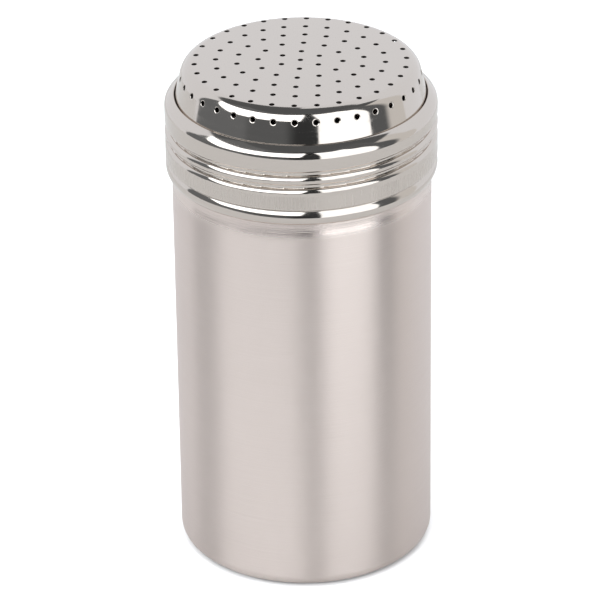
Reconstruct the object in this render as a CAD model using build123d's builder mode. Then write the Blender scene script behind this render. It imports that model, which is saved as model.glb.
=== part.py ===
"""Stainless steel spice shaker: a drawn can, a screw ring and a perforated dome.

All lengths are in millimetres. The can stands on Z = 0 with its axis on Z.
Every wall is one sheet thick, so each profile below is a skin that can be drawn
at any depth under its outer face: the wall lies between depth 0 and the sheet.
Angles of a skin are those of its outward normal: 0 points away from the axis, 90 up.
"""
from build123d import *
from math import acos, asin, atan2, cos, degrees, radians, sin, sqrt
import os

os.makedirs("parts", exist_ok=True)

# ---- can -----------------------------------------------------------------------------
can_radius = 35.0
can_sheet = 0.5
can_shoulder_height = 107.5  # where the straight wall starts to turn in
can_shoulder_bend = 2.6
neck_root_bend = 1.0
neck_step = 0.8  # how far the neck is drawn in under the ring
neck_length = 22.2  # from the top of the shoulder to the rim
base_corner_bend = 3.6
foot_width = 3.4  # flat ring that the can stands on
base_recess = 0.8  # the middle of the base is pressed up by this much
recess_bend = 1.5

# ---- screw ring ----------------------------------------------------------------------
ring_sheet = 0.5
ring_shoulder_bend = 3.0
ring_lip_angle = 50.0  # normal of the conical lip that holds the dome down
lip_width = 2.75  # from the ring's outside in to the edge of its hole
ring_skirt = 16.7  # from the shoulder down to the middle of the rim bead
rim_bead_bend = 2.9
rim_bead_end_angle = -42.0
band_edge_bend = 0.7
rim_notch_bend = 0.3
rim_notch_depth = 0.6

# ---- rolled screw thread, right-hand -------------------------------------------------
thread_pitch = 3.6
thread_turn = 555.0  # degrees from one end of the thread to the other
thread_start = -165.0  # direction of the lower end, from +X, seen from above
thread_drop = 8.55  # from the ring's shoulder down to the lower end of its groove
groove_depth = 1.25
groove_flat = 0.8  # width of the bottom of the groove
groove_side_bend = 1.5
groove_side_rise = 0.05  # the groove's sides meet the ring at a slight edge
thread_gap = 0.65  # from the can's neck out to the bead on the inside of the ring
ridge_crest_gap = 0.8  # from the can's ridge out to the plain inside of the ring
ridge_half_width = 1.2

# ---- perforated dome -----------------------------------------------------------------
dome_sheet = 0.5
dome_rise = 9.3  # from the edge of the ring's lip to the middle of the dome
dome_taper = 13.0  # the wall leans in by this angle
dome_edge_bend = 4.1
dome_crown_bend = 1200.0
dome_foot_bend = 0.8
dome_gap = 0.25  # between the lip's edge and the dome's wall
seat_gap = 0.15  # at each face of the dome's flange, between the lip and the can's rim

# ---- holes in the dome ---------------------------------------------------------------
hole_radius = 0.75
hole_ring_turns = (27.0, -4.6, 5.6, -3.8, 2.4)  # how far each ring of holes is turned
holes_per_ring_step = 6  # each ring has this many more holes than the one inside it
side_hole_turn = -3.1
side_hole_angle = 13.6  # normal of the dome's edge where the side holes go through


def on_arc(centre, radius, angle):
    """Point of a circle in the profile plane."""
    return (centre[0] + radius * cos(radians(angle)), centre[1] + radius * sin(radians(angle)))


def along(direction, point):
    """Length of a point's vector along a unit direction."""
    return direction[0] * point[0] + direction[1] * point[1]


# ---- places that follow from the sizes -----------------------------------------------
neck_radius = can_radius - neck_step
shoulder_turn = degrees(acos(1 - neck_step / (can_shoulder_bend + neck_root_bend)))
shoulder_rise = (can_shoulder_bend + neck_root_bend) * sin(radians(shoulder_turn))
neck_foot_height = can_shoulder_height + shoulder_rise
rim_centre = (neck_radius - can_sheet / 2, neck_foot_height + neck_length)

# The ring goes over the can's neck, with room for its own groove's bead.
ring_radius = neck_radius + thread_gap + groove_depth + ring_sheet
ring_hole_radius = ring_radius - lip_width

# The lip, the dome's flange and the can's rim lie on each other along the lip's normal,
# so the height of the ring's shoulder follows from the rim.
lip_normal = on_arc((0, 0), 1, ring_lip_angle)
flange_distance = ring_shoulder_bend - ring_sheet - seat_gap - dome_sheet / 2
rim_distance = flange_distance - dome_sheet / 2 - seat_gap - can_sheet / 2
shoulder_radius = ring_radius - ring_shoulder_bend
rim_along_lip = along(lip_normal, (rim_centre[0] - shoulder_radius, rim_centre[1]))
shoulder_centre = (shoulder_radius, (rim_along_lip - rim_distance) / lip_normal[1])

# The lip's edge is round, and its centre lies in the middle of the sheet.
lip_edge_radius = ring_hole_radius + ring_sheet / 2
lip_edge_along = ring_shoulder_bend - ring_sheet / 2
lip_edge_rise = (lip_edge_along - (lip_edge_radius - shoulder_radius) * lip_normal[0]) / lip_normal[1]
lip_edge_centre = (lip_edge_radius, shoulder_centre[1] + lip_edge_rise)

# The rim bead, the notch above it and the lower edge of the band touch each other.
bead_centre = (ring_radius - rim_bead_bend, shoulder_centre[1] - ring_skirt)
notch_radius = ring_radius - rim_notch_depth + rim_notch_bend
notch_offset = notch_radius - bead_centre[0]
notch_rise = sqrt((rim_bead_bend + rim_notch_bend) ** 2 - notch_offset**2)
notch_centre = (notch_radius, bead_centre[1] + notch_rise)
band_offset = notch_radius - (ring_radius - band_edge_bend)
band_rise = sqrt((band_edge_bend + rim_notch_bend) ** 2 - band_offset**2)
band_centre = (ring_radius - band_edge_bend, notch_centre[1] + band_rise)
band_turn = degrees(atan2(-band_rise, band_offset))
bead_turn = degrees(atan2(notch_rise, notch_offset))

# The dome's wall meets its flange in a bend that lies against both.
wall_normal = on_arc((0, 0), 1, dome_taper)
wall_foot = (ring_hole_radius - dome_gap, lip_edge_centre[1])
wall_along = along(wall_normal, wall_foot)
flange_along = along(lip_normal, shoulder_centre) + flange_distance + dome_sheet / 2
foot_wall = wall_along + dome_foot_bend
foot_flange = flange_along + dome_foot_bend
foot_split = sin(radians(ring_lip_angle - dome_taper))
foot_centre = (
    (foot_wall * lip_normal[1] - foot_flange * wall_normal[1]) / foot_split,
    (foot_flange * wall_normal[0] - foot_wall * lip_normal[0]) / foot_split,
)
flange_end_centre = on_arc(shoulder_centre, flange_distance, ring_lip_angle)

# The dome's edge touches the wall outside and the crown above.
dome_top = lip_edge_centre[1] + dome_rise
crown_centre = (0.0, dome_top - dome_crown_bend)
edge_start = on_arc(wall_foot, -dome_edge_bend, dome_taper)
edge_from_crown = (edge_start[0] - crown_centre[0], edge_start[1] - crown_centre[1])
wall_up = (-wall_normal[1], wall_normal[0])
edge_up = along(wall_up, edge_from_crown)
edge_reach = dome_crown_bend - dome_edge_bend
edge_step = sqrt(edge_up**2 - along(edge_from_crown, edge_from_crown) + edge_reach**2) - edge_up
edge_centre = (edge_start[0] + edge_step * wall_up[0], edge_start[1] + edge_step * wall_up[1])
crown_turn = degrees(asin(edge_centre[0] / edge_reach))

# The rings of holes are evenly spaced, and the last lies where the crown turns down.
hole_ring_pitch = edge_centre[0] / len(hole_ring_turns)


def can_skin(depth):
    """Skin of the can from the middle of its base to its rim."""
    recess_turn = degrees(acos(1 - base_recess / (2 * recess_bend)))
    foot_inside = can_radius - base_corner_bend - foot_width
    panel_edge = foot_inside - 2 * recess_bend * sin(radians(recess_turn))
    corner = (can_radius - base_corner_bend, base_corner_bend)
    shoulder = (can_radius - can_shoulder_bend, can_shoulder_height)
    root = (neck_radius + neck_root_bend, neck_foot_height)
    panel = Line((0, base_recess + depth), (panel_edge, base_recess + depth))
    CenterArc((panel_edge, base_recess - recess_bend), recess_bend + depth, 90, -recess_turn)
    CenterArc((foot_inside, recess_bend), recess_bend - depth, 270 - recess_turn, recess_turn)
    Line((foot_inside, depth), (corner[0], depth))
    CenterArc(corner, base_corner_bend - depth, 270, 90)
    Line((can_radius - depth, corner[1]), (can_radius - depth, shoulder[1]))
    CenterArc(shoulder, can_shoulder_bend - depth, 0, shoulder_turn)
    CenterArc(root, neck_root_bend + depth, 180 + shoulder_turn, -shoulder_turn)
    Line((neck_radius - depth, root[1]), (neck_radius - depth, rim_centre[1]))
    return panel @ 0


def ring_skin(depth):
    """Skin of the ring from the edge of its lip to the edge of its rim bead."""
    shoulder = CenterArc(shoulder_centre, ring_shoulder_bend - depth, 0, ring_lip_angle)
    Line(on_arc(lip_edge_centre, ring_sheet / 2 - depth, ring_lip_angle), shoulder @ 1)
    band_edge = CenterArc(band_centre, band_edge_bend - depth, 0, band_turn)
    Line(shoulder @ 0, band_edge @ 0)
    CenterArc(notch_centre, rim_notch_bend + depth, 180 + band_turn, bead_turn - band_turn)
    CenterArc(bead_centre, rim_bead_bend - depth, bead_turn, rim_bead_end_angle - bead_turn)


def dome_skin(depth):
    """Skin of the dome from its middle to the edge of its flange."""
    crown_size = 90 - crown_turn
    crown = CenterArc(crown_centre, dome_crown_bend - depth, 90, -crown_turn)
    edge = CenterArc(edge_centre, dome_edge_bend - depth, crown_size, dome_taper - crown_size)
    foot = CenterArc(foot_centre, dome_foot_bend + depth, 180 + dome_taper, ring_lip_angle - dome_taper)
    Line(edge @ 1, foot @ 0)
    Line(foot @ 1, on_arc(flange_end_centre, dome_sheet / 2 - depth, ring_lip_angle))
    return crown @ 0


def thread_path(radius, height, trim):
    """Helix of the thread, shortened at both ends by trim degrees."""
    first = radians(thread_start + trim)
    lift = thread_pitch * trim / 360
    plane = Plane(origin=(0, 0, height + lift), x_dir=(cos(first), sin(first), 0), z_dir=(0, 0, 1))
    with BuildLine(plane) as path:
        Helix(thread_pitch, thread_pitch * (thread_turn - 2 * trim) / 360, radius)
    return path.line


def profile_plane(path):
    """Plane across the start of a helix, with x away from the axis and y up."""
    start = path @ 0
    return Plane(origin=start, x_dir=(start.X, start.Y, 0), z_dir=-(path % 0))


# ---- thread of the can: a ridge rolled out of the neck -------------------------------
# The ring's bead lies midway between two turns of the can's ridge.
ring_groove_height = shoulder_centre[1] - thread_drop
can_ridge_height = ring_groove_height + thread_pitch / 2
ridge_crest = ring_radius - ring_sheet - ridge_crest_gap - neck_radius
ridge_bend = (ridge_half_width**2 + ridge_crest**2) / (2 * ridge_crest)
ridge_centre = (ridge_crest - ridge_bend, 0)
ridge_hollow = ridge_bend - can_sheet
ridge_path = thread_path(neck_radius, can_ridge_height, 0)
ridge_hollow_path = thread_path(neck_radius, can_ridge_height, degrees(can_sheet / neck_radius))

# ---- thread of the ring: a groove rolled into the wall, a bead on the inside ----------
groove_bottom = (-groove_depth, groove_flat / 2)
groove_side_x = groove_side_rise - groove_side_bend
groove_side_y = groove_bottom[1] + sqrt(groove_side_bend**2 - (groove_side_x - groove_bottom[0]) ** 2)
groove_side = (groove_side_x, groove_side_y)
groove_corner_turn = degrees(atan2(groove_side[1] - groove_bottom[1], groove_side[0] - groove_bottom[0]))
groove_path = thread_path(ring_radius, ring_groove_height, degrees(ring_sheet / ring_radius))
bead_path = thread_path(ring_radius, ring_groove_height, 0)


def groove_half(depth, outside):
    """Upper half of the groove's profile at a depth, closed along the line x = outside.

    Its side runs a little past the face of the wall, so that the two cross cleanly.
    """
    side_bend = groove_side_bend - depth
    side_turn = degrees(acos((groove_side_rise / 2 - depth - groove_side[0]) / side_bend))
    side = CenterArc(groove_side, side_bend, groove_corner_turn - 180, 180 - groove_corner_turn - side_turn)
    bottom = Line((groove_bottom[0] - depth, 0), (groove_bottom[0] - depth, groove_bottom[1]))
    if depth > 0:
        CenterArc(groove_bottom, depth, groove_corner_turn, 180 - groove_corner_turn)
    corner = (outside, (side @ 1).Y)
    Line(side @ 1, corner)
    Line(corner, (outside, 0))
    Line((outside, 0), bottom @ 0)


# ---- can -----------------------------------------------------------------------------
with BuildPart() as shaker_can:
    with BuildSketch(Plane.XZ):
        with BuildLine():
            Line(can_skin(0), can_skin(can_sheet))
            CenterArc(rim_centre, can_sheet / 2, 0, 180)
        make_face()
    revolve(axis=Axis.Z)
    with BuildSketch(profile_plane(ridge_path)):
        with Locations(ridge_centre):
            Circle(ridge_bend)
        with Locations((-can_sheet / 2, 0)):
            Rectangle(ridge_bend, 2 * ridge_bend, align=(Align.MAX, Align.CENTER), mode=Mode.SUBTRACT)
    sweep(path=ridge_path, is_frenet=True)
    with BuildSketch(profile_plane(ridge_hollow_path)):
        with Locations(ridge_centre):
            Circle(ridge_hollow)
            Rectangle(ridge_bend, 2 * ridge_hollow, align=(Align.MAX, Align.CENTER))
    sweep(path=ridge_hollow_path, is_frenet=True, mode=Mode.SUBTRACT)

# ---- screw ring ----------------------------------------------------------------------
rim_bead_end = on_arc(bead_centre, rim_bead_bend - ring_sheet / 2, rim_bead_end_angle)

with BuildPart() as screw_ring:
    with BuildSketch(Plane.XZ):
        with BuildLine():
            ring_skin(0)
            ring_skin(ring_sheet)
            CenterArc(lip_edge_centre, ring_sheet / 2, ring_lip_angle, 180)
            CenterArc(rim_bead_end, ring_sheet / 2, rim_bead_end_angle, -180)
        make_face()
    revolve(axis=Axis.Z)
    with BuildSketch(profile_plane(bead_path)):
        with BuildLine():
            groove_half(ring_sheet, -ring_sheet / 2)
        make_face()
        mirror(about=Plane.XZ)
    sweep(path=bead_path, is_frenet=True)
    with BuildSketch(profile_plane(groove_path)):
        with BuildLine():
            groove_half(0, groove_depth)
        make_face()
        mirror(about=Plane.XZ)
    sweep(path=groove_path, is_frenet=True, mode=Mode.SUBTRACT)

# ---- perforated dome -----------------------------------------------------------------
side_hole_place = on_arc(edge_centre, dome_edge_bend - dome_sheet / 2, side_hole_angle)
side_hole_count = holes_per_ring_step * (len(hole_ring_turns) + 1)
drill_depth = 4 * dome_sheet

with BuildPart() as perforated_dome:
    with BuildSketch(Plane.XZ):
        with BuildLine():
            Line(dome_skin(0), dome_skin(dome_sheet))
            CenterArc(flange_end_centre, dome_sheet / 2, ring_lip_angle, -180)
        make_face()
    revolve(axis=Axis.Z)
    with BuildSketch(Plane.XY.offset(dome_top - drill_depth)):
        Circle(hole_radius)
        for ring_number, ring_turn in enumerate(hole_ring_turns, start=1):
            with PolarLocations(ring_number * hole_ring_pitch, ring_number * holes_per_ring_step, ring_turn):
                Circle(hole_radius)
    extrude(amount=2 * drill_depth, mode=Mode.SUBTRACT)
    with Locations((0, 0, side_hole_place[1])):
        with PolarLocations(side_hole_place[0], side_hole_count, side_hole_turn):
            Cylinder(hole_radius, drill_depth, rotation=(0, 90 - side_hole_angle, 0), mode=Mode.SUBTRACT)

# ---- parts ---------------------------------------------------------------------------
shaker_can.part.label = "shaker_can"
screw_ring.part.label = "screw_ring"
perforated_dome.part.label = "perforated_dome"

export_step(shaker_can.part, "parts/shaker_can.step")
export_step(screw_ring.part, "parts/screw_ring.step")
export_step(perforated_dome.part, "parts/perforated_dome.step")
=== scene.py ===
# %% [markdown]
# # Stainless steel spice shaker
# Three pressings of thin stainless sheet: a drawn can, a screw ring and a perforated dome.
# The imported model gives their sizes and bodies. Here each pressing is drawn again as a fine
# surface, because polished steel shows the smallest kink in what it reflects.

# %% The frame: the imported model
import bpy
import numpy as np
from mathutils import Matrix, Vector
from mathutils.geometry import delaunay_2d_cdt


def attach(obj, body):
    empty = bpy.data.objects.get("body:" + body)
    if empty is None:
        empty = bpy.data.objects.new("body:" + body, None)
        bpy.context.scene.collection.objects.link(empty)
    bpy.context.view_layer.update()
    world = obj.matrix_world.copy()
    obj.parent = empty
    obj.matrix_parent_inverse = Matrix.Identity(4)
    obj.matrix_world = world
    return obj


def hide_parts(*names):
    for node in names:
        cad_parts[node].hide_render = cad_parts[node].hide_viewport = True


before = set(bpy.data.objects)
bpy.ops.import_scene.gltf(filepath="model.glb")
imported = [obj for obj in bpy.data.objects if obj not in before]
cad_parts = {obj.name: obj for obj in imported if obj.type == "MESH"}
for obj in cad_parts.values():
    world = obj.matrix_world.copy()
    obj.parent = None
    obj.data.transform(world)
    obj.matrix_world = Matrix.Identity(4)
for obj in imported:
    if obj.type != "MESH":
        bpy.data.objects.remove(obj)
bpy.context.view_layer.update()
MM = 0.001

# %% [markdown]
# ## Sizes
# All of them in millimetres. A pressing is one sheet thick, so its section is the outer line
# plus the sheet: the inner line lies one sheet further in along the same normals.
#
# A BEND is the radius of a bend. A CENTRE or an END of two numbers is (radius, height). A TURN,
# TAPER or ANGLE is in degrees, and so is the START of the thread.

# %% Sizes of the three pressings
SHEET = 0.5
# The can, from its rim down
NECK_RADIUS, NECK_END = 34.2, 132.063
CAN_SHOULDER_HEIGHT, CAN_SHOULDER_BEND = 111.6, 1.0
WAIST_HEIGHT, WAIST_BEND, WAIST_TURN = 106.8, 9.5, 10.0
CAN_RADIUS, CAN_CORNER = 35.0, 3.6
BASE_RECESS, RECESS_BEND, FOOT_INSIDE = 0.8, 1.5, 28.0
# The ring, from its lip down
LIP_CENTRE, LIP_BEND, LIP_TURNS = (29.493, 126.162), 8.943, (58.0, 44.0)
RING_RADIUS, SHOULDER_BEND, SHOULDER_HEIGHT = 36.6, 2.4, 130.707
BAND_CENTRE, BAND_BEND, BAND_TURN = (35.9, 116.446), 0.7, -66.422
NOTCH_CENTRE, NOTCH_BEND = (36.3, 115.529), 0.3
BEAD_HEIGHT, BEAD_BEND, BEAD_TURN, BEAD_END = 113.664, 2.9, 35.659, -42.0
# The thread: PITCH up each turn; the ring's groove, from its lower end; the neck's ridge
PITCH, THREAD_START, THREAD_TURN = 3.6, -165.0, 555.0
GROOVE_HEIGHT, GROOVE_DEPTH, GROOVE_FLAT, GROOVE_BEND, GROOVE_RISE = 121.814, 1.25, 0.4, 1.5, 0.05
RIDGE_CREST, RIDGE_BEND, HOLLOW_REACH = 1.1, 1.2045, 1.0
# The dome, from its middle out and down
DOME_TOP, CROWN_BEND, CROWN_TURN = 142.834, 1200.0, 1.3545
EDGE_CENTRE, EDGE_BEND, TAPER = (28.269, 138.400), 4.1, 13.0
FOOT_CENTRE, FOOT_BEND = (34.349, 133.847), 0.8
FLANGE_END, FLANGE_ANGLE = (34.950, 131.972), 50.0
# Its holes: on the crown rings of 6, 12, 18, 24 and 30 about the middle one, then one on the bend
HOLE_RADIUS, HOLE_RING_PITCH, HOLE_TURNS = 0.75, 5.654, (27.0, -4.6, 5.6, -3.8, 2.4)
SIDE_HOLES, SIDE_HOLE_TURN, SIDE_HOLE_ANGLE = 36, -3.1, 13.6
# How fine the surfaces are
NECK_THREAD, RING_THREAD = (121.5, 130.5), (120.0, 129.5)  # heights between which rows lie close
CAN_TURNS, LID_TURNS = 288, 256  # the ring and the dome share theirs, so they meet evenly
SLOPE_STEP = 1e-3  # in mm and in radians
BRUSH_UNIT = 100.0  # mm of a section to one unit of its UV

# %% [markdown]
# ## Drawing a section
# A section is a list of rows (radius, height, normal out, normal up). Lines and arcs that
# touch each other smoothly share their normal, so the steel has no kink where they meet.

# %% Lines and arcs of a section
def unit(angle):
    """Unit vector of an angle in degrees, 0 away from the axis and 90 up."""
    return np.array([np.cos(np.radians(angle)), np.sin(np.radians(angle))])


def arc(centre, radius, first, last, rows, side=1.0):
    """Rows of an arc: centre + radius * unit(angle), with the normal side * unit(angle)."""
    angle = np.radians(np.linspace(first, last, rows))
    out = np.stack([np.cos(angle), np.sin(angle)], 1)
    return np.hstack([np.array(centre) + radius * out, side * out])


def line(start, end, rows, angle):
    """Rows of a straight run from start to end, without its ends, all with one normal."""
    share = np.linspace(0, 1, rows + 2)[1:-1, None]
    point = np.array(start) * (1 - share) + np.array(end) * share
    return np.hstack([point, np.tile(unit(angle), (rows, 1))])


def rim(section_row, first, last, rows):
    """Half round edge of the sheet, about the middle of the sheet at one row of a section."""
    middle = section_row[:2] - SHEET / 2 * section_row[2:]
    return arc(middle, SHEET / 2, first, last, rows + 2)[1:-1]


def back(section):
    """The inner face: point - SHEET * normal, run backwards, with its normals turned round."""
    outer = section[::-1]
    return np.hstack([outer[:, :2] - SHEET * outer[:, 2:], -outer[:, 2:]])

# %% [markdown]
# ## Making a mesh
# The section is carried round the axis. Normals are worked out from the formula and given to
# the mesh, so a reflection is as smooth as the real steel's, however few faces there are.

# %% Mesh from arrays
def add_mesh(name, points, normals, faces, brush, walls=()):
    """Mesh object from arrays in mm: points, unit normals, faces of 3 or 4, and a UV per point.

    walls has the normals of the last corners, where faces meet the others at a sharp edge.
    """
    mesh = bpy.data.meshes.new(name)
    mesh.from_pydata(points * MM, [], faces)
    mesh.shade_smooth()
    corner = np.empty(len(mesh.loops), np.int32)
    mesh.loops.foreach_get("vertex_index", corner)
    uv = mesh.uv_layers.new(name="brush")
    uv.data.foreach_set("uv", brush[corner].astype(np.float32).ravel())
    corner_normals = normals[corner]
    if len(walls):
        corner_normals[-len(walls):] = walls
    mesh.normals_split_custom_set(corner_normals.astype(np.float32))
    piece = bpy.data.objects.new(name, mesh)
    bpy.context.scene.collection.objects.link(piece)
    print(name, len(points), "points,", sum(len(face) - 2 for face in faces), "triangles")
    return piece


def carry_round(section, turns, shift=None):
    """Points (radius cos, radius sin, height), normals and UV of each row at each turn.

    shift, rows by turns, moves each point along its radius. Its slopes tilt the normals:
    the normal of a surface radius(angle, height) is (1, -slope / radius round, -slope up).
    """
    angle = np.radians(np.linspace(0, 360, turns, endpoint=False))
    radius = np.repeat(section[:, :1], turns, 1)
    height = np.repeat(section[:, 1:2], turns, 1)
    out, up = (np.repeat(section[:, k:k + 1], turns, 1) for k in (2, 3))
    round_ = np.zeros_like(out)
    if shift is not None:
        here, step = angle[None], SLOPE_STEP
        slope_up = (shift(here, height + step) - shift(here, height - step)) / (2 * step)
        slope_round = (shift(here + step, height) - shift(here - step, height)) / (2 * step)
        radius = radius + shift(here, height)
        up = up - slope_up * out
        round_ = -slope_round * out / radius
        size = np.sqrt(out**2 + up**2 + round_**2)
        out, up, round_ = out / size, up / size, round_ / size
    cos, sin = np.cos(angle)[None], np.sin(angle)[None]
    points = np.stack([radius * cos, radius * sin, height], -1).reshape(-1, 3)
    normals = np.stack([out * cos - round_ * sin, out * sin + round_ * cos, up], -1)
    steps = np.diff(section[:, :2], axis=0, prepend=section[:1, :2])
    run = np.hypot(*steps.T).cumsum() / BRUSH_UNIT
    brush = np.stack(np.broadcast_arrays(run[:, None], angle[None] / (2 * np.pi)), -1)
    return points, normals.reshape(-1, 3), brush.reshape(-1, 2)


def carry_all(sections, turns):
    """Points, normals and UV of several (section, shift), one section after the other."""
    grids = [carry_round(rows, turns, shift) for rows, shift in sections]
    return [np.vstack(part) for part in zip(*grids)]


def join_rows(above, below, turns):
    """Four-cornered faces from each row of above to the same row of below, all the way round."""
    here = np.arange(turns)
    beside = (here + 1) % turns
    above, below = np.ravel(above)[:, None] * turns, np.ravel(below)[:, None] * turns
    corners = [above + here, below + here, below + beside, above + beside]
    return np.stack(corners, -1).reshape(-1, 4).tolist()


def close_row(row, pole, turns, upward):
    """Triangles between a row and one point on the axis, with the index pole."""
    here = np.arange(turns)
    pair = (here, (here + 1) % turns)
    ring = [row * turns + side for side in (pair if upward else pair[::-1])]
    return np.stack([np.full(turns, pole), *ring], -1).tolist()

# %% [markdown]
# ## The screw thread
# It is rolled into both pieces as one helix that rises 3.6 mm a turn. In the ring it is a
# groove that shows outside as two dark lines, in the neck a ridge. Both fade out at their
# ends, where the roller lifts off the sheet.

# %% Thread shapes
FADE = 14.0  # degrees over which the roller lifts off the sheet
SIDE_RADIUS = GROOVE_RISE - GROOVE_BEND
SIDE_HEIGHT = GROOVE_FLAT + np.sqrt(GROOVE_BEND**2 - (SIDE_RADIUS + GROOVE_DEPTH) ** 2)


def from_thread(angle, height, thread_height):
    """Distance to the nearest turn of the thread, and how far the thread is formed there.

    With run the degrees from the start, a turn lies at thread_height + PITCH * run / 360,
    and run is the point's own angle plus whole turns.
    """
    lap = np.mod(np.degrees(angle) - THREAD_START + FADE, 360.0) - FADE
    turn = np.round((height - thread_height) / PITCH - lap / 360.0)
    run = lap + 360.0 * np.clip(turn, 0, np.floor((THREAD_TURN + FADE - lap) / 360.0))
    away = np.abs(height - thread_height - PITCH * run / 360.0)
    ends = np.clip(run / FADE + 1, 0, 1) * np.clip((THREAD_TURN - run) / FADE + 1, 0, 1)
    return away, ends * ends * (3 - 2 * ends)


def groove(angle, height, depth):
    """Shift of the ring's wall at a depth under its outer face: bottom, corner and side arc.

    The side is an arc about SIDE_RADIUS, SIDE_HEIGHT. One sheet further in, its radius is
    smaller by that sheet, and the sharp corner of the bottom becomes an arc of that radius.
    """
    away, formed = from_thread(angle, height, GROOVE_HEIGHT)
    reach = np.maximum(SIDE_HEIGHT - away, 0)
    side = SIDE_RADIUS + np.sqrt(np.maximum((GROOVE_BEND - depth) ** 2 - reach**2, 0))
    beyond = np.maximum(away - GROOVE_FLAT, 0)
    corner = -GROOVE_DEPTH - np.sqrt(np.maximum(depth**2 - beyond**2, 0))
    touch = GROOVE_FLAT + (SIDE_HEIGHT - GROOVE_FLAT) * depth / GROOVE_BEND
    shape = np.where(away < touch, corner, side)
    return formed * np.clip(shape + depth, -GROOVE_DEPTH, 0)


def ridge(angle, height, depth):
    """Shift of the neck's wall: outside an arc of RIDGE_BEND, inside a softer hollow."""
    away, formed = from_thread(angle, height, GROOVE_HEIGHT + PITCH / 2)
    arc_shift = RIDGE_CREST - RIDGE_BEND + np.sqrt(np.maximum(RIDGE_BEND**2 - away**2, 0))
    hollow = RIDGE_CREST * (1 + np.cos(np.pi * np.clip(away / HOLLOW_REACH, 0, 1))) / 2
    return formed * np.maximum(np.where(depth > 0, hollow, arc_shift), 0)

# %% [markdown]
# ## The can
# A deep drawn cup: its base is pressed up inside a foot ring. Its top is turned in twice, a
# little under the ring's bead and more behind it, to a neck.

# %% Can
def can_skin():
    """Outer line of the can, from its rim down to the edge of its pressed-up base."""
    sink = np.degrees(np.arccos(1 - BASE_RECESS / (2 * RECESS_BEND)))
    panel = FOOT_INSIDE - 2 * RECESS_BEND * np.sin(np.radians(sink))
    waist = CAN_RADIUS - 2 * WAIST_BEND * (1 - unit(WAIST_TURN)[0])
    waist_height = WAIST_HEIGHT + 2 * WAIST_BEND * unit(WAIST_TURN)[1]
    bend = CAN_SHOULDER_BEND
    turn = np.degrees(np.arccos(1 - (waist - NECK_RADIUS) / (2 * bend)))
    root = CAN_SHOULDER_HEIGHT + 2 * bend * unit(turn)[1]
    low, high = NECK_THREAD
    return np.vstack([
        line((NECK_RADIUS, NECK_END), (NECK_RADIUS, high), 2, 0),
        line((NECK_RADIUS, high), (NECK_RADIUS, low), 70, 0),
        line((NECK_RADIUS, low), (NECK_RADIUS, root), 6, 0),
        arc((NECK_RADIUS + bend, root), bend, 180, 180 + turn, 8, -1),
        arc((waist - bend, CAN_SHOULDER_HEIGHT), bend, turn, 0, 8)[1:],
        arc((waist + WAIST_BEND, waist_height), WAIST_BEND, 180, 180 + WAIST_TURN, 10, -1),
        arc((CAN_RADIUS - WAIST_BEND, WAIST_HEIGHT), WAIST_BEND, WAIST_TURN, 0, 10)[1:],
        line((CAN_RADIUS, WAIST_HEIGHT), (CAN_RADIUS, CAN_CORNER), 24, 0),
        arc((CAN_RADIUS - CAN_CORNER, CAN_CORNER), CAN_CORNER, 0, -90, 18),
        arc((FOOT_INSIDE, RECESS_BEND), RECESS_BEND, -90, -90 - sink, 6),
        arc((panel, BASE_RECESS - RECESS_BEND), RECESS_BEND, 90 - sink, 90, 6, -1)[1:],
    ])


def make_can():
    """The can: the wall with its rim, closed on the axis under and over the base."""
    turns = CAN_TURNS
    skin = can_skin()
    inside = back(skin)
    round_rim = rim(skin[0], 180, 0, 8)
    sections = [
        (skin, lambda a, h: ridge(a, h, 0.0)),
        (inside, lambda a, h: ridge(a, h, SHEET)),
        (round_rim, None),
    ]
    points, normals, brush = carry_all(sections, turns)
    rows = len(skin) + len(inside) + len(round_rim)
    above = np.delete(np.arange(rows), len(skin) - 1)
    faces = join_rows(above, (above + 1) % rows, turns)
    faces += close_row(len(skin) - 1, len(points), turns, False)
    faces += close_row(len(skin), len(points) + 1, turns, True)
    points = np.vstack([points, [[0, 0, BASE_RECESS], [0, 0, BASE_RECESS + SHEET]]])
    normals = np.vstack([normals, [[0, 0, -1], [0, 0, 1]]])
    brush = np.vstack([brush, [[0, 0], [0, 0]]])
    return add_mesh("drawn_can", points, normals, faces, brush)


can = make_can()
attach(can, "can")
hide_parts("shaker_can")

# %% [markdown]
# ## The screw ring
# The lip at its top is a slightly crowned cone that holds the dome's flange. Under the groove
# runs a plain band, and the ring ends in a rolled bead.

# %% Ring
def ring_skin():
    """Outer line of the ring, from the edge of its lip to the edge of its rim bead."""
    shoulder = (RING_RADIUS - SHOULDER_BEND, SHOULDER_HEIGHT)
    low, high = RING_THREAD
    return np.vstack([
        arc(LIP_CENTRE, LIP_BEND, *LIP_TURNS, 8),
        arc(shoulder, SHOULDER_BEND, LIP_TURNS[1], 0, 20)[1:],
        line((RING_RADIUS, SHOULDER_HEIGHT), (RING_RADIUS, high), 2, 0),
        line((RING_RADIUS, high), (RING_RADIUS, low), 104, 0),
        line((RING_RADIUS, low), (RING_RADIUS, BAND_CENTRE[1]), 4, 0),
        arc(BAND_CENTRE, BAND_BEND, 0, BAND_TURN, 8),
        arc(NOTCH_CENTRE, NOTCH_BEND, 180 + BAND_TURN, 180 + BEAD_TURN, 9, -1)[1:-1],
        arc((RING_RADIUS - BEAD_BEND, BEAD_HEIGHT), BEAD_BEND, BEAD_TURN, BEAD_END, 30),
    ])


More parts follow.
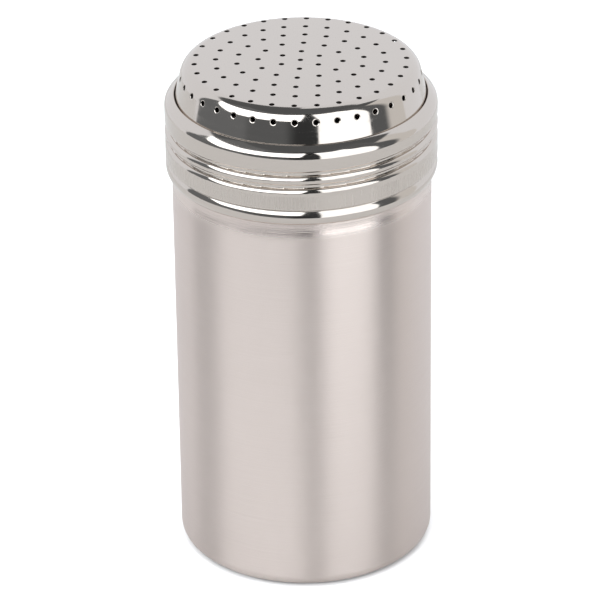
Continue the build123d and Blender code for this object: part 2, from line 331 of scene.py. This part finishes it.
def make_ring():
    """The ring: both faces and the half round edges of its bead and of its lip."""
    turns = LID_TURNS
    skin = ring_skin()
    sections = [
        (skin, lambda a, h: groove(a, h, 0.0)),
        (rim(skin[-1], BEAD_END, BEAD_END - 180, 6), None),
        (back(skin), lambda a, h: groove(a, h, SHEET)),
        (rim(skin[0], LIP_TURNS[0] + 180, LIP_TURNS[0], 8), None),
    ]
    points, normals, brush = carry_all(sections, turns)
    row = np.arange(len(points) // turns)
    return add_mesh("pressed_ring", points, normals, join_rows(row, np.roll(row, -1), turns), brush)


ring = make_ring()
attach(ring, "ring")
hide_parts("screw_ring")

# %% [markdown]
# ## The dome
# An almost flat crown turns down over a small bend into a short wall, whose foot turns out
# into a flange under the ring's lip. Its 127 holes are punched from outside, so each has a
# rim that is drawn in, deeper on the bend than on the crown, and it catches the light.
#
# The upper part is laid out flat, with its length from the middle as the radius. There the
# holes and a net of points are joined to triangles, which are then put back on the dome.

# %% The dome's layout
CROWN_LENGTH = CROWN_BEND * np.radians(CROWN_TURN)
EDGE_LENGTH = CROWN_LENGTH + EDGE_BEND * np.radians(90 - CROWN_TURN - TAPER)
WALL_IN_LAYOUT = 1.8
LAYOUT_LENGTH = EDGE_LENGTH + WALL_IN_LAYOUT
NET_START, NET_STEP, NET_ROWS, NET_GAP = 2.0, 1.9, 22, 0.22
RIM_BEND, CROWN_RIM_BEND, RIM_TILT, RIM_STEPS, HOLE_POINTS = 0.42, 1.26, 42.0, 5, 28
RIM_WIDTH = RIM_BEND * np.sin(np.radians(RIM_TILT))


def on_dome(run):
    """Section rows of the dome's outer face at a length from the middle: crown, edge, wall."""
    on_crown = run <= CROWN_LENGTH
    crown = np.clip(run, 0, CROWN_LENGTH) / CROWN_BEND
    edge = np.clip(run - CROWN_LENGTH, 0, EDGE_LENGTH - CROWN_LENGTH) / EDGE_BEND
    edge = np.radians(90 - CROWN_TURN) - edge
    wall = np.maximum(run - EDGE_LENGTH, 0)
    crown_radius = CROWN_BEND * np.sin(crown)
    crown_height = DOME_TOP - CROWN_BEND * (1 - np.cos(crown))
    edge_radius = EDGE_CENTRE[0] + EDGE_BEND * np.cos(edge)
    edge_height = EDGE_CENTRE[1] + EDGE_BEND * np.sin(edge)
    radius = np.where(on_crown, crown_radius, edge_radius)
    height = np.where(on_crown, crown_height, edge_height)
    out = np.where(on_crown, np.sin(crown), np.cos(edge))
    up = np.where(on_crown, np.cos(crown), np.sin(edge))
    return np.stack([radius + wall * up, height - wall * out, out, up], -1)


def hole_places():
    """(length from the middle, angle) of each hole: the middle one, then rings of 6, 12, 18 ..."""
    rings = [(0.0, 1, 0.0)]
    rings += [((k + 1) * HOLE_RING_PITCH, 6 * (k + 1), turn) for k, turn in enumerate(HOLE_TURNS)]
    side = CROWN_LENGTH + EDGE_BEND * np.radians(90 - CROWN_TURN - SIDE_HOLE_ANGLE)
    rings += [(side, SIDE_HOLES, SIDE_HOLE_TURN)]
    return np.vstack([
        np.stack([np.full(count, run), np.radians(turn + 360 / count * np.arange(count))], -1)
        for run, count, turn in rings
    ])


def lay_out():
    """Flat points (x, y) of the rims, by hole, step and turn, of the net and of the holes.

    The last one is the tilt of each step of a rim, from the hole's edge to the flat sheet.
    """
    holes = hole_places()
    step = np.radians(np.linspace(RIM_TILT, 0, RIM_STEPS))
    reach = HOLE_RADIUS + RIM_WIDTH - RIM_BEND * np.sin(step)
    turn = np.radians(np.linspace(0, 360, HOLE_POINTS, endpoint=False))
    along = reach[None, :, None] * np.cos(turn)
    across = reach[None, :, None] * np.sin(turn)
    run, angle = holes.T
    flat = run[:, None, None] * np.stack([np.cos(angle), np.sin(angle)])[..., None, None]
    stretch = np.where(run > CROWN_LENGTH, run / on_dome(run)[:, 0].clip(1), 1.0)
    across = across * stretch[:, None, None]
    cos, sin = np.cos(angle)[:, None, None], np.sin(angle)[:, None, None]
    rims = [flat[0] + along * cos - across * sin, flat[1] + along * sin + across * cos]
    middle = flat[:, :, 0, 0].T
    circles = np.concatenate([
        np.arange(NET_START, CROWN_LENGTH, NET_STEP),
        np.linspace(CROWN_LENGTH, LAYOUT_LENGTH, NET_ROWS)[:-1],
    ])
    net = []
    for circle in circles:
        outer = circle > CROWN_LENGTH - NET_STEP  # from the crown's last circle on
        count = LID_TURNS if outer else 6 * int(circle / 2) + 6  # else about 2 mm apart
        around = np.linspace(0, 2 * np.pi, count, endpoint=False)
        net.append(circle * np.stack([np.cos(around), np.sin(around)], -1))
    net = np.concatenate(net)
    away = np.hypot(*(net[:, None] - middle[None]).transpose(2, 0, 1)).min(1)
    return np.stack(rims, -1), net[away > HOLE_RADIUS + RIM_WIDTH + NET_GAP], middle, step


def join_layout(rims, net):
    """All flat points, the first rim point's number, and triangles that leave the holes open."""
    angle = np.radians(np.linspace(0, 360, LID_TURNS, endpoint=False))
    border = LAYOUT_LENGTH * np.stack([np.cos(angle), np.sin(angle)], -1)
    flat = np.concatenate([border, net, rims.reshape(-1, 2)])
    first = len(border) + len(net)
    edges = np.arange(first, len(flat)).reshape(-1, HOLE_POINTS)
    edges = np.stack([edges, np.roll(edges, -1, 1)], -1).reshape(-1, 2).tolist()
    points = [Vector(point) for point in flat]
    triangles = np.array(delaunay_2d_cdt(points, edges, [], 0, 1e-7, False)[2])
    circle = (triangles - first) // HOLE_POINTS
    inside = (circle[:, 0] >= 0) & (circle == circle[:, :1]).all(1)
    return flat, first, triangles[~(inside & (circle[:, 0] % RIM_STEPS == 0))]

# %% The dome's faces
def stand(run, angle):
    """Points and unit normals of the dome's outer face at lengths from the middle and angles."""
    radius, height, out, up = on_dome(run).T
    cos, sin = np.cos(angle), np.sin(angle)
    points = np.stack([radius * cos, radius * sin, height], -1)
    return points, np.stack([out * cos, out * sin, up], -1)


def press_layout(flat, first, middle, step):
    """The layout put back on the dome: points, normals and UV of its outer and inner face.

    A rim with the radius bend sinks by bend * (1 - cos tilt), and its normal leans by the tilt
    to the hole. The last one is each point's way to its hole, square to the hole's axis.
    """
    hole_of = np.full(len(flat), -1)
    hole_of[first:] = np.repeat(np.arange(len(middle)), RIM_STEPS * HOLE_POINTS)
    step_of = np.full(len(flat), RIM_STEPS - 1)
    step_of[first:] = np.tile(np.repeat(np.arange(RIM_STEPS), HOLE_POINTS), len(middle))
    run, angle = np.hypot(*flat.T), np.arctan2(flat[:, 1], flat[:, 0])
    hole_run, hole_angle = np.hypot(*middle.T), np.arctan2(middle[:, 1], middle[:, 0])
    place, normal = stand(run, angle)
    hole, axis = stand(hole_run, hole_angle)
    to_hole = hole[hole_of] - place
    to_hole -= (to_hole * axis[hole_of]).sum(1)[:, None] * axis[hole_of]
    to_hole /= np.linalg.norm(to_hole, axis=1)[:, None]
    bend = np.where(hole_run > CROWN_LENGTH, RIM_BEND, CROWN_RIM_BEND)[hole_of]
    tilt = np.arcsin(np.sin(step[step_of]) * RIM_BEND / bend) * (hole_of >= 0)
    outer = place - normal * (bend * (1 - np.cos(tilt)))[:, None]
    outer_normal = normal * np.cos(tilt)[:, None] + to_hole * np.sin(tilt)[:, None]
    points = np.concatenate([outer, place - normal * SHEET])
    normals = np.concatenate([outer_normal, -normal])
    brush = np.stack([run / BRUSH_UNIT, angle / (2 * np.pi) % 1], -1)
    return points, normals, np.concatenate([brush, brush]), to_hole


def make_skirt():
    """Points, normals and UV from the layout's border down to the flange's edge and back up."""
    foot = arc(FOOT_CENTRE, FOOT_BEND, 180 + TAPER, 180 + FLANGE_ANGLE, 10, -1)
    end = np.hstack([FLANGE_END + SHEET / 2 * unit(FLANGE_ANGLE), unit(FLANGE_ANGLE)])
    skirt = np.vstack([
        line(on_dome(np.array(LAYOUT_LENGTH))[:2], foot[0, :2], 6, TAPER),
        foot,
        line(foot[-1, :2], end[:2], 2, FLANGE_ANGLE),
        end[None],
    ])
    edge = rim(end, FLANGE_ANGLE, FLANGE_ANGLE - 180, 6)
    return carry_all([(skirt, None), (edge, None), (back(skirt), None)], LID_TURNS)


def make_dome():
    """The dome: the layout's outer and inner face, the holes' walls and the skirt.

    The inner layout and the holes' walls get the second material, dark grey as painted shade.
    """
    rims, net, middle, step = lay_out()
    flat, first, triangles = join_layout(rims, net)
    *layout, to_hole = press_layout(flat, first, middle, step)
    skirt = make_skirt()
    over = len(skirt[0])
    under, last = over + len(flat), over - LID_TURNS
    row = np.arange(over // LID_TURNS)
    turn = np.arange(LID_TURNS)
    beside = (turn + 1) % LID_TURNS
    faces = join_rows(row[:-1], row[1:], LID_TURNS)
    faces += np.stack([over + turn, turn, beside, over + beside], -1).tolist()
    faces += np.stack([last + turn, under + turn, under + beside, last + beside], -1).tolist()
    faces += (triangles + over).tolist() + (triangles[:, ::-1] + under).tolist()
    lips = np.arange(first, len(flat)).reshape(-1, RIM_STEPS, HOLE_POINTS)[:, 0]
    after = np.roll(lips, -1, 1)
    walls = np.stack([lips + over, after + over, after + under, lips + under], -1)
    faces += walls.reshape(-1, 4).tolist()
    facing = np.stack([to_hole[lips], to_hole[after], to_hole[after], to_hole[lips]], 2)
    points, normals, brush = (np.concatenate(part) for part in zip(skirt, layout))
    piece = add_mesh("punched_dome", points, normals, faces, brush, facing.reshape(-1, 3))
    # Faces of the inside and the holes' walls, whose dark grey steel is painted shade
    unpolished_and_shaded = np.zeros(len(faces), np.int32)
    unpolished_and_shaded[-(len(triangles) + lips.size):] = 1
    piece.data.polygons.foreach_set("material_index", unpolished_and_shaded)
    return piece


dome = make_dome()
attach(dome, "dome")
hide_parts("perforated_dome")

# %% [markdown]
# ## Steel
# All three pieces are the same stainless steel. The can is brushed on a lathe, with strokes
# that run round it, so a reflection is drawn out up and down. The ring and the dome are
# polished, apart from one band of the ring, which is brushed up and down for grip, and the
# dome's inside and the walls of its holes, which are dull as the press left them and are
# painted dark grey, a painted shade for the dim inside.

# %% Nodes and colours
def linear(hex_colour):
    """Linear colour of an sRGB hex colour, such as "#D0CAC0"."""
    srgb = np.array([int(hex_colour[k:k + 2], 16) for k in (1, 3, 5)]) / 255
    return (*np.where(srgb > 0.04045, ((srgb + 0.055) / 1.055) ** 2.4, srgb / 12.92), 1.0)


def add_node(tree, kind, inputs=(), **settings):
    """A node of that kind. inputs is {socket: a value or another node's output}."""
    node = tree.nodes.new(kind)
    for name, value in settings.items():
        setattr(node, name, value)
    for socket, value in dict(inputs).items():
        if isinstance(value, bpy.types.NodeSocket):
            tree.links.new(value, node.inputs[socket])
        else:
            node.inputs[socket].default_value = value
    return node


def new_material(name):
    """A new material with its tree and its Principled BSDF."""
    material = bpy.data.materials.new(name)
    material.use_nodes = True
    tree = material.node_tree
    return material, tree, tree.nodes["Principled BSDF"]


def new_steel(name, colour, scale, detail, noise_range, rough_range):
    """Stainless steel whose roughness follows a noise.

    scale says how fine the noise is along x, y and z, so it makes strokes where they differ.
    Returns the material, its tree and shader, and the outputs of the noise and the roughness.
    """
    material, tree, shader = new_material(name)
    place = add_node(tree, "ShaderNodeTexCoord").outputs["Object"]
    drawn = add_node(tree, "ShaderNodeMapping", {"Vector": place, "Scale": scale}).outputs[0]
    noise = add_node(tree, "ShaderNodeTexNoise", {
        "Vector": drawn, "Scale": 1.0, "Detail": detail,
    }).outputs["Fac"]
    rough = add_node(tree, "ShaderNodeMapRange", {
        "Value": noise, "From Min": noise_range[0], "From Max": noise_range[1],
        "To Min": rough_range[0], "To Max": rough_range[1],
    }).outputs[0]
    shader.inputs["Metallic"].default_value = 1.0
    shader.inputs["Base Color"].default_value = colour
    tree.links.new(rough, shader.inputs["Roughness"])
    print(name, "has a roughness of", rough_range)
    return material, tree, shader, noise, rough

# %% Brushed steel of the can
STEEL = linear("#CEC6BE")
BRUSHED = linear("#DFD3CC")  # fine scratches scatter a little more light
# Dull steel painted dark grey: painted shade for the inside of the dome and its holes
UNPOLISHED_SHADE_GREY = linear("#5E5652")
BELT_END = (0.1060, 0.1082)  # heights in metres over which the belt lifts off


def make_brushed_steel():
    """Lathe-brushed stainless: strokes about 0.15 mm wide and 30 mm long that run round the can.

    The belt doesn't reach the waist under the ring, so the steel is smoother there.
    """
    material, tree, shader, strokes, rough = new_steel(
        "brushed_stainless_steel", BRUSHED, (35, 35, 6500), 3.0, (0.3, 0.7), (0.34, 0.44)
    )
    place = add_node(tree, "ShaderNodeTexCoord").outputs["Object"]
    coarse = add_node(tree, "ShaderNodeMapping", {"Vector": place, "Scale": (12, 12, 1500)})
    waves = add_node(tree, "ShaderNodeTexNoise", {
        "Vector": coarse.outputs[0], "Scale": 1.0, "Detail": 2.0,
    }).outputs["Fac"]
    height = add_node(tree, "ShaderNodeSeparateXYZ", {0: place}).outputs["Z"]
    reached = add_node(tree, "ShaderNodeMapRange", {
        "Value": height, "From Min": BELT_END[0], "From Max": BELT_END[1],
        "To Min": 1.0, "To Max": 0.5,
    }).outputs[0]
    rough = add_node(tree, "ShaderNodeMath", {0: rough, 1: reached}, operation="MULTIPLY")
    both = add_node(tree, "ShaderNodeMath", {0: strokes, 1: waves}, operation="ADD").outputs[0]
    relief = add_node(tree, "ShaderNodeBump", {
        "Height": both, "Strength": 0.8, "Distance": 0.00006,
    })
    across = add_node(tree, "ShaderNodeTangent", direction_type="UV_MAP", uv_map="brush")
    shader.inputs["Anisotropic"].default_value = 0.95
    tree.links.new(rough.outputs[0], shader.inputs["Roughness"])
    tree.links.new(relief.outputs[0], shader.inputs["Normal"])
    tree.links.new(across.outputs[0], shader.inputs["Tangent"])
    return material

# %% Brushed band of the ring
BAND_LOW, BAND_HIGH = 116.3, 119.9


def make_band_steel():
    """Stainless brushed up and down: short strokes about 0.25 mm wide that stand on the band."""
    material, tree, shader, strokes, _ = new_steel(
        "band_stainless_steel", STEEL, (4200, 4200, 70), 2.0, (0.3, 0.7), (0.16, 0.30)
    )
    relief = add_node(tree, "ShaderNodeBump", {
        "Height": strokes, "Strength": 0.25, "Distance": 0.00001,
    })
    tree.links.new(relief.outputs[0], shader.inputs["Normal"])
    return material

# %% Polished steel, dull steel painted dark as shade, and what each piece is of
brushed, band = make_brushed_steel(), make_band_steel()
# A fine haze of wipe marks keeps the mirror from being perfect.
polished = new_steel(
    "polished_stainless_steel", STEEL, (60, 60, 900), 4.0, (0.35, 0.7), (0.05, 0.11)
)[0]
# The dome's inside and holes' walls: rough steel, its dark grey a painted shade
unpolished_and_shaded = new_steel(
    "unpolished_steel_painted_shade", UNPOLISHED_SHADE_GREY, (900, 900, 900), 2.0, (0.3, 0.7), (0.42, 0.55)
)[0]
for piece, *finishes in ((can, brushed), (ring, polished, band), (dome, polished, unpolished_and_shaded)):
    for finish in finishes:
        piece.data.materials.append(finish)
        print(piece.name, "is of", finish.name)

middles = np.empty((len(ring.data.polygons), 3), np.float32)
ring.data.polygons.foreach_get("center", middles.ravel())
on_band = (middles[:, 2] > BAND_LOW * MM) & (middles[:, 2] < BAND_HIGH * MM)
on_band &= np.hypot(middles[:, 0], middles[:, 1]) > (RING_RADIUS - SHEET / 2) * MM
ring.data.polygons.foreach_set("material_index", on_band.astype(np.int32))
print("faces of the brushed band:", on_band.sum())

# %% [markdown]
# ## Surroundings
# Polished steel shows what stands round it more than its own colour. Two large softboxes
# stand left and right of the camera, with dark gaps between them, over them and under the
# left one, and a pale backdrop closes the back. Each is one patch of the sky, so the steel
# shows it without a light that could be seen itself.

# %% Light from all round
SKY = (0.96, 0.99, 1.05, 1.0)  # the backdrop
# Each row: brightness; how much bluer than grey; left and right edge, each with its lean; lower
# edge; upper edge with its lean; and how soft the sides are. Degrees round from the camera,
# positive to its right, and over the horizon. A side leans by so many degrees for each degree
# up, an upper edge by so many for each degree round.
PATCHES = (
    (0.82, 1.0, 80, 0, 106, 0, -91, 91, 0, 1),  # side wall, a little darker than the backdrop
    (0.13, 1.07, -181, 0, 181, 0, 64, 91, 0, 1),  # dark ceiling
    (0.13, 1.07, -181, 0, -88, 0, 49, 91, 0, 1),  # ceiling, lower at the back left
    (0.13, 1.07, 82, 0, 114, 0, 50, 91, 0, 1),  # ceiling, lower at the right
    (0.20, 1.07, -106, 0, -46, 0, -10, 66, 0, 1),  # stand under and beside the left softbox
    (0.15, 1.07, -50, 0, 84, 0, -91, 66, 0, 4),  # dark room behind the camera
    (0.05, 1.07, -10, 0, 20, 0, -91, 66, 0, 7),  # gap between the softboxes
    (0.01, 1.07, -1, 0, 13, 0, 47, 62, 0, 1),  # black camera over it
    (3.0, 1.04, -55.5, -1.1, -3, 0.12, 13, 61, 0.12, 1),  # left softbox, which stands askew
    (1.9, 1.04, 15, 0, 64, 0, -20, 50, 0, 1),  # right softbox
    (2.2, 1.04, 15, 0, 112, -1, 46, 60, 0, 1),  # its upper part, with a cut corner
)


def make_surroundings():
    """World light by direction: the backdrop, with each patch laid over what is below it.

    A patch is the product of a smooth step at each of its edges. The step is taken of the
    angle round or over, less the edge's lean times the other angle.
    """
    world = bpy.data.worlds.new("studio")
    bpy.context.scene.world = world
    world.use_nodes = True
    tree = world.node_tree
    way = add_node(tree, "ShaderNodeTexCoord").outputs["Generated"]
    x, y, z = add_node(tree, "ShaderNodeSeparateXYZ", {0: way}).outputs
    toward = add_node(tree, "ShaderNodeMath", {0: y, 1: -1.0}, operation="MULTIPLY").outputs[0]
    round_ = add_node(tree, "ShaderNodeMath", {0: x, 1: toward}, operation="ARCTAN2").outputs[0]
    over = add_node(tree, "ShaderNodeMath", {0: z}, operation="ARCSINE").outputs[0]
    round_ = add_node(tree, "ShaderNodeMath", {0: round_}, operation="DEGREES").outputs[0]
    over = add_node(tree, "ShaderNodeMath", {0: over}, operation="DEGREES").outputs[0]
    sky = SKY
    for light, blue, left, left_lean, right, right_lean, low, high, high_lean, soft in PATCHES:
        mask = 1.0
        for angle, other, lean, edge, width, start in (
            (round_, over, left_lean, left, soft, 0.0),
            (round_, over, right_lean, right, soft, 1.0),
            (over, round_, 0.0, low, 1, 0.0),
            (over, round_, high_lean, high, 1, 1.0),
        ):
            upright = add_node(tree, "ShaderNodeMath", {
                0: other, 1: -lean, 2: angle,
            }, operation="MULTIPLY_ADD").outputs[0]
            step = add_node(tree, "ShaderNodeMapRange", {
                "Value": upright, "From Min": edge - width, "From Max": edge + width,
                "To Min": start, "To Max": 1.0 - start,
            }, interpolation_type="SMOOTHSTEP").outputs[0]
            mask = add_node(tree, "ShaderNodeMath", {
                0: mask, 1: step,
            }, operation="MULTIPLY").outputs[0]
        laid = {"Factor": mask, 6: sky, 7: (light / blue, light, light * blue, 1.0)}
        sky = add_node(tree, "ShaderNodeMix", laid, data_type="RGBA").outputs[2]
    background = tree.nodes["Background"]
    tree.links.new(sky, background.inputs["Color"])
    background.inputs["Strength"].default_value = 1.0
    print(len(PATCHES), "patches,", len(tree.nodes), "nodes")


make_surroundings()

# %% [markdown]
# ## Floor
# The white floor is bright enough for its shadows to wash out. The steel shows a smaller
# sheet of paper in its place, which ends in front and at the right, so that the dark room
# behind the camera shows between the sheet and the softboxes.

# %% Floor
def add_sheet(name, low, high, height, hex_colour):
    """A flat sheet between two corners at a height, in metres, of matt paper in one colour."""
    corners = (low, (high[0], low[1]), high, (low[0], high[1]))
    mesh = bpy.data.meshes.new(name)
    mesh.from_pydata([(x, y, height) for x, y in corners], [], [(0, 1, 2, 3)])
    sheet = bpy.data.objects.new(name, mesh)
    bpy.context.scene.collection.objects.link(sheet)
    paper, _, shader = new_material(name + "_paper")
    shader.inputs["Base Color"].default_value = linear(hex_colour)
    shader.inputs["Roughness"].default_value = 0.9
    shader.inputs["Specular IOR Level"].default_value = 0.0
    mesh.materials.append(paper)
    return sheet


FLOOR_HEIGHT = -0.0001  # 0.1 mm under the sheet that the steel shows
floor = add_sheet("floor", (-4, -4), (4, 4), FLOOR_HEIGHT, "#F9F9F9")
floor.visible_glossy = False
table = add_sheet("table", (-0.75, -0.40), (0.33, 2.0), 0, "#BABABA")
table.visible_camera = table.visible_diffuse = table.visible_shadow = False

# %% Overhead light
lamp = bpy.data.lights.new("overhead", "SUN")
lamp.energy = 2.2
lamp.angle = np.radians(60)
overhead = bpy.data.objects.new("overhead", lamp)
overhead.visible_glossy = False
bpy.context.scene.collection.objects.link(overhead)

# %% [markdown]
# ## Camera
# A long lens, 1.1 m away and a little above the object, looks down by 27.6 degrees.

# %% Camera
CAMERA_PLACE = (0, -0.97666, 0.58183)
PITCH_DOWN, YAW, ROLL = np.radians((27.62, 0.056, -0.75))
view = bpy.data.cameras.new("camera")
view.sensor_width, view.lens = 36.0, 241.4
view.clip_end = 20.0
camera = bpy.data.objects.new("camera", view)
turn = Matrix.Rotation(YAW, 4, "Z") @ Matrix.Rotation(np.pi / 2 - PITCH_DOWN, 4, "X")
turn = turn @ Matrix.Rotation(ROLL, 4, "Z")
camera.matrix_world = Matrix.Translation(CAMERA_PLACE) @ turn
bpy.context.scene.collection.objects.link(camera)
bpy.context.scene.camera = camera
bpy.context.scene.view_settings.view_transform = "Standard"
